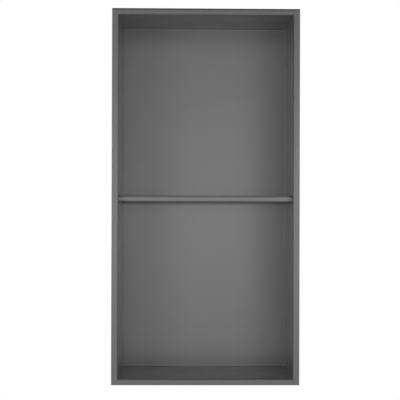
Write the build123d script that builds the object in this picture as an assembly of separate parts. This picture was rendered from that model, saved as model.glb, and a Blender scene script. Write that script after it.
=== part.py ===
from build123d import *
import os

# Recessed shower niche insert: a five-sided tray folded from one sheet of steel, with its
# front edge turned out into a rim and back along the outside, and a folded shelf welded
# across its middle.
# Millimetres, +Z up. The origin is the centre of the back panel's rear face, and the niche
# opens towards -Y.

# Overall sizes
NICHE_WIDTH = 304.8
NICHE_HEIGHT = 609.6
NICHE_DEPTH = 101.6

# Sheet and its bends: tight round the back panel, softer along the rim and the shelf's lip
SHEET = 1.2
BACK_BEND_INSIDE = 1.2
BACK_BEND_OUTSIDE = BACK_BEND_INSIDE + SHEET
EDGE_BEND_INSIDE = 2.5
EDGE_BEND_OUTSIDE = EDGE_BEND_INSIDE + SHEET

# Front rim: its face, and the return that runs back from the face's outer edge
RIM_WIDTH = 11.0
RIM_RETURN = 12.0

# Shelf: a sheet with its front edge turned down into a lip, and the lip turned back under;
# the lip's middle is a little below the niche's
SHELF_LIP = 10.0
SHELF_SETBACK = 12.7
SHELF_HEM = 10.0
SHELF_MIDDLE = -3.0
SHELF_CORNER_CLEARANCE = 0.4

# Places that follow from the sizes
OPENING_WIDTH = NICHE_WIDTH - 2 * RIM_WIDTH
OPENING_HEIGHT = NICHE_HEIGHT - 2 * RIM_WIDTH
FRONT = -NICHE_DEPTH
BACK_FACE = -SHEET
BACK_MARGIN = 2 * BACK_BEND_OUTSIDE
SHELF_TOP = SHELF_MIDDLE + SHELF_LIP / 2
SHELF_FRONT = FRONT + SHELF_SETBACK


def sheet_section(shown, shown_radii, hidden, hidden_radii):
    """Closed section of a folded sheet, on the YZ plane, from the corners of its two skins."""
    outline = [
        FilletPolyline(*shown, radius=shown_radii),
        Line(shown[-1], hidden[-1]),
        FilletPolyline(*hidden, radius=hidden_radii),
        Line(hidden[0], shown[0]),
    ]
    return Plane.YZ * make_face(Curve() + outline)


def side_section():
    """Section of one side of the tray: margin of the back panel, wall, rim face and rim return.

    The wall's inner face is at z = 0, and the outside of the tray is below it.
    """
    return_end = FRONT + RIM_RETURN
    shown = [
        (BACK_FACE, BACK_MARGIN),
        (BACK_FACE, 0),
        (FRONT, 0),
        (FRONT, -RIM_WIDTH),
        (return_end, -RIM_WIDTH),
    ]
    hidden = [
        (0, BACK_MARGIN),
        (0, -SHEET),
        (FRONT + SHEET, -SHEET),
        (FRONT + SHEET, SHEET - RIM_WIDTH),
        (return_end, SHEET - RIM_WIDTH),
    ]
    return sheet_section(
        shown,
        [BACK_BEND_INSIDE, EDGE_BEND_OUTSIDE, EDGE_BEND_OUTSIDE],
        hidden,
        [BACK_BEND_OUTSIDE, EDGE_BEND_INSIDE, EDGE_BEND_INSIDE],
    )


def mitred_side(opening_edge):
    """One side of the tray along X, for an edge of the opening, with both ends cut at 45 degrees."""
    half = opening_edge / 2
    trapezium = Polygon(
        (-half - RIM_WIDTH, -RIM_WIDTH),
        (half + RIM_WIDTH, -RIM_WIDTH),
        (half - BACK_MARGIN, BACK_MARGIN),
        (BACK_MARGIN - half, BACK_MARGIN),
        align=None,
    )
    straight = extrude(side_section(), amount=half + RIM_WIDTH, both=True)
    return straight & extrude(Plane.XZ * trapezium, amount=NICHE_DEPTH, both=True)


def niche_box():
    """Tray: four mitred sides round the opening, and the back panel between their margins."""
    floor = Pos(0, 0, -OPENING_HEIGHT / 2) * mitred_side(OPENING_WIDTH)
    left = Rot(0, 90, 0) * Pos(0, 0, -OPENING_WIDTH / 2) * mitred_side(OPENING_HEIGHT)
    half_turn = Rot(0, 180, 0)
    back_panel = Pos(0, BACK_FACE / 2, 0) * Box(
        OPENING_WIDTH - 2 * BACK_MARGIN, SHEET, OPENING_HEIGHT - 2 * BACK_MARGIN
    )
    return back_panel + [floor, left, half_turn * floor, half_turn * left]


def shelf():
    """Shelf between the side walls, with its rear corners eased to clear the tray's bends."""
    underside = SHELF_TOP - SHELF_LIP
    hem_end = SHELF_FRONT + SHELF_HEM
    shown = [
        (BACK_FACE, SHELF_TOP),
        (SHELF_FRONT, SHELF_TOP),
        (SHELF_FRONT, underside),
        (hem_end, underside),
    ]
    hidden = [
        (BACK_FACE, SHELF_TOP - SHEET),
        (SHELF_FRONT + SHEET, SHELF_TOP - SHEET),
        (SHELF_FRONT + SHEET, underside + SHEET),
        (hem_end, underside + SHEET),
    ]
    section = sheet_section(
        shown,
        [EDGE_BEND_OUTSIDE, EDGE_BEND_OUTSIDE],
        hidden,
        [EDGE_BEND_INSIDE, EDGE_BEND_INSIDE],
    )
    folded = extrude(section, amount=OPENING_WIDTH / 2, both=True)
    rear_corners = folded.edges().filter_by(Axis.Z).group_by(Axis.Y)[-1]
    return fillet(rear_corners, BACK_BEND_INSIDE + SHELF_CORNER_CLEARANCE)


os.makedirs("parts", exist_ok=True)
export_step(niche_box(), "parts/niche_box.step")
export_step(shelf(), "parts/shelf.step")
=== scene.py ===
import math

import bpy
from mathutils import Euler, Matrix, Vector


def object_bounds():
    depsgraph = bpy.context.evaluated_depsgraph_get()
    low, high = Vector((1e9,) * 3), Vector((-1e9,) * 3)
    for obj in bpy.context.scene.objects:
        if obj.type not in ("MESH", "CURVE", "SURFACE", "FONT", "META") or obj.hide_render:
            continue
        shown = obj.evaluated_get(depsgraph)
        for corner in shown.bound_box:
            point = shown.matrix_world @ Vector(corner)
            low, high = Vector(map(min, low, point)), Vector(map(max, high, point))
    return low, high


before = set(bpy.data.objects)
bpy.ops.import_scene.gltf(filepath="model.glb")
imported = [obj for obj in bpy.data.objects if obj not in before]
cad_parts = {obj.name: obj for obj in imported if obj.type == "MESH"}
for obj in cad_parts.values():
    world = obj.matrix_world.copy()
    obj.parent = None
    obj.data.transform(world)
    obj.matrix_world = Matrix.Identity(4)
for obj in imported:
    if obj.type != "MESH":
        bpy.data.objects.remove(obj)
CAD_LOW, CAD_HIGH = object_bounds()

# Places taken from the model, in metres: +Z up, and the niche opens towards -Y
MIDDLE = (CAD_LOW + CAD_HIGH) / 2
RIM_MIDDLE = Vector((MIDDLE.x, CAD_LOW.y, MIDDLE.z))

# Camera: where it stands from the middle of the rim's face, how it is turned, and its lens
CAMERA_PLACE = Vector((-0.0232, -1.2449, -0.0242))
CAMERA_PITCH = math.radians(0.13)
CAMERA_YAW = math.radians(-0.64)
CAMERA_ROLL = math.radians(-0.16)
LENS_MM = 69.45
SENSOR_MM = 36.0
SHIFT_UP = 0.025

# Grey coat: its colour, and the roughness of the coat and of the smoother skin on it
COAT_GREY = 0.15
COAT_ROUGHNESS = 0.35
SKIN_ROUGHNESS = 0.2

# Fine detail of the coat: sizes in metres, and how far each one moves the tone or the roughness
PEEL_SIZE = 0.0025
PEEL_DEPTH = 0.00001
SPECKLE_SIZE = 0.001
SPECKLE = 0.04
DRIFT_SIZE = 0.12
DRIFT = 0.03
RUBBED_SIZE = 0.03
RUBBED = 0.05
NOISE_RANGE = (0.3, 0.7)

# Lamps: place from the middle of the rim's face, width, height, spread in degrees and watts
LAMPS = {
    "key": ((0.7, -1.2, 0.02), 0.8, 0.1, 45, 0.98),
    "fill": ((-1.1, -1.2, 0.02), 0.8, 0.1, 45, 0.86),
    "rear": ((-0.4, 1.1, 1.5), 1.2, 1.2, 180, 18.0),
}
LAMP_AIM = MIDDLE + Vector((0, 0, -0.02))

# Studio: its white, the weak even light, and how the gloss sees it turn dim with the ray's height
WHITE = 1.0
AMBIENT = 0.05
DIM = 0.1
DIMMING_HEIGHTS = (0.3, 0.6)

# Floor below the niche, which hangs as it would in a wall
FLOOR_DROP = 0.9
FLOOR_HALF = 3.0
FLOOR_GREY = 0.85
FLOOR_GLOW = 0.75
FADE_FROM = 0.8


def combined(tree, operation, first, second):
    """Socket of two sockets taken together by a math operation."""
    node = tree.nodes.new("ShaderNodeMath")
    node.operation = operation
    tree.links.new(first, node.inputs[0])
    tree.links.new(second, node.inputs[1])
    return node.outputs[0]


def mapped(tree, value, source, target):
    """Socket that carries a value from one range to another, each given by its two ends."""
    node = tree.nodes.new("ShaderNodeMapRange")
    for name, end in zip(("From Min", "From Max", "To Min", "To Max"), (*source, *target)):
        node.inputs[name].default_value = end
    tree.links.new(value, node.inputs["Value"])
    return node.outputs["Result"]


def noise(tree, size):
    """Socket of a noise through the piece, with lumps of a size in metres."""
    place = tree.nodes.new("ShaderNodeTexCoord")
    texture = tree.nodes.new("ShaderNodeTexNoise")
    texture.inputs["Scale"].default_value = 1 / size
    tree.links.new(place.outputs["Object"], texture.inputs["Vector"])
    return texture.outputs["Fac"]


def varied(tree, size, middle, reach):
    """Socket of a value that a noise moves about a middle, as far to each side as the reach."""
    return mapped(tree, noise(tree, size), NOISE_RANGE, (middle - reach, middle + reach))


def coat_material():
    """Grey powder coat with a smooth, semi-gloss skin, faintly speckled and dimpled."""
    material = bpy.data.materials.new("grey_powder_coat")
    material.use_nodes = True
    tree = material.node_tree
    shader = tree.nodes["Principled BSDF"]
    drift = varied(tree, DRIFT_SIZE, COAT_GREY, COAT_GREY * DRIFT)
    speckle = varied(tree, SPECKLE_SIZE, 1, SPECKLE)
    tree.links.new(combined(tree, "MULTIPLY", drift, speckle), shader.inputs["Base Color"])
    tree.links.new(varied(tree, RUBBED_SIZE, COAT_ROUGHNESS, RUBBED), shader.inputs["Roughness"])
    peel = tree.nodes.new("ShaderNodeBump")
    peel.inputs["Distance"].default_value = PEEL_DEPTH
    tree.links.new(noise(tree, PEEL_SIZE), peel.inputs["Height"])
    tree.links.new(peel.outputs["Normal"], shader.inputs["Normal"])
    tree.links.new(peel.outputs["Normal"], shader.inputs["Coat Normal"])
    shader.inputs["Coat Weight"].default_value = 1.0
    shader.inputs["Coat Roughness"].default_value = SKIN_ROUGHNESS
    return material


def seen_ray(tree):
    """Socket that is one on rays from the camera, a gloss or a glass, and nought on the rest."""
    path = tree.nodes.new("ShaderNodeLightPath")
    seen = path.outputs["Is Camera Ray"]
    for name in ("Is Glossy Ray", "Is Transmission Ray"):
        seen = combined(tree, "MAXIMUM", seen, path.outputs[name])
    return seen


def white_world():
    """White to the camera, white with a dim top in a gloss, and a weak light everywhere else."""
    world = bpy.data.worlds.new("studio")
    bpy.context.scene.world = world
    world.use_nodes = True
    tree = world.node_tree
    background = tree.nodes["Background"]
    direction = tree.nodes.new("ShaderNodeTexCoord")
    split = tree.nodes.new("ShaderNodeSeparateXYZ")
    tree.links.new(direction.outputs["Generated"], split.inputs["Vector"])
    tone = mapped(tree, split.outputs["Z"], DIMMING_HEIGHTS, (WHITE, DIM))
    path = tree.nodes.new("ShaderNodeLightPath")
    colour = combined(tree, "MAXIMUM", tone, path.outputs["Is Camera Ray"])
    tree.links.new(colour, background.inputs["Color"])
    strength = mapped(tree, seen_ray(tree), (0, 1), (AMBIENT, WHITE))
    tree.links.new(strength, background.inputs["Strength"])


def floor_material():
    """Pale floor that takes a shadow under the niche and fades to white at its edge."""
    material = bpy.data.materials.new("pale_floor")
    material.use_nodes = True
    tree = material.node_tree
    tree.nodes.clear()
    matt = tree.nodes.new("ShaderNodeBsdfDiffuse")
    matt.inputs["Color"].default_value = (FLOOR_GREY, FLOOR_GREY, FLOOR_GREY, 1)
    glow = tree.nodes.new("ShaderNodeEmission")
    place = tree.nodes.new("ShaderNodeTexCoord")
    distance = tree.nodes.new("ShaderNodeVectorMath")
    distance.operation = "LENGTH"
    tree.links.new(place.outputs["Object"], distance.inputs[0])
    fade = mapped(tree, distance.outputs["Value"], (FADE_FROM, FLOOR_HALF), (FLOOR_GLOW, WHITE))
    both = tree.nodes.new("ShaderNodeMixShader")
    tree.links.new(combined(tree, "MULTIPLY", fade, seen_ray(tree)), both.inputs["Fac"])
    tree.links.new(matt.outputs["BSDF"], both.inputs[1])
    tree.links.new(glow.outputs["Emission"], both.inputs[2])
    output = tree.nodes.new("ShaderNodeOutputMaterial")
    tree.links.new(both.outputs["Shader"], output.inputs["Surface"])
    return material


def floor():
    """Plain square floor under the niche."""
    mesh = bpy.data.meshes.new("floor")
    signs = [(-1, -1), (1, -1), (1, 1), (-1, 1)]
    corners = [(x * FLOOR_HALF, y * FLOOR_HALF, 0) for x, y in signs]
    mesh.from_pydata(corners, [], [(0, 1, 2, 3)])
    mesh.materials.append(floor_material())
    holder = bpy.data.objects.new("floor", mesh)
    holder.location = (MIDDLE.x, MIDDLE.y, CAD_LOW.z - FLOOR_DROP)
    bpy.context.scene.collection.objects.link(holder)


def area_lamp(name, place, width, height, spread, watts):
    """Flat lamp that faces the niche, just below its middle, and isn't seen in its gloss."""
    lamp = bpy.data.lights.new(name, "AREA")
    lamp.shape = "RECTANGLE"
    lamp.size = width
    lamp.size_y = height
    lamp.spread = math.radians(spread)
    lamp.energy = watts
    holder = bpy.data.objects.new(name, lamp)
    bpy.context.scene.collection.objects.link(holder)
    holder.location = RIM_MIDDLE + Vector(place)
    holder.rotation_euler = (LAMP_AIM - holder.location).to_track_quat("-Z", "Y").to_euler()
    holder.visible_camera = False
    holder.visible_glossy = False


def camera():
    """Camera in front of the niche, just below its middle."""
    data = bpy.data.cameras.new("camera")
    data.sensor_width = SENSOR_MM
    data.lens = LENS_MM
    data.shift_y = SHIFT_UP
    holder = bpy.data.objects.new("camera", data)
    bpy.context.scene.collection.objects.link(holder)
    holder.location = RIM_MIDDLE + CAMERA_PLACE
    holder.rotation_euler = Euler((math.pi / 2 + CAMERA_PITCH, CAMERA_ROLL, CAMERA_YAW))
    bpy.context.scene.camera = holder


coat = coat_material()
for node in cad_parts.values():
    node.data.materials.clear()
    node.data.materials.append(coat)
white_world()
floor()
for lamp_name, settings in LAMPS.items():
    area_lamp(lamp_name, *settings)
camera()
bpy.context.scene.view_settings.view_transform = "Standard"
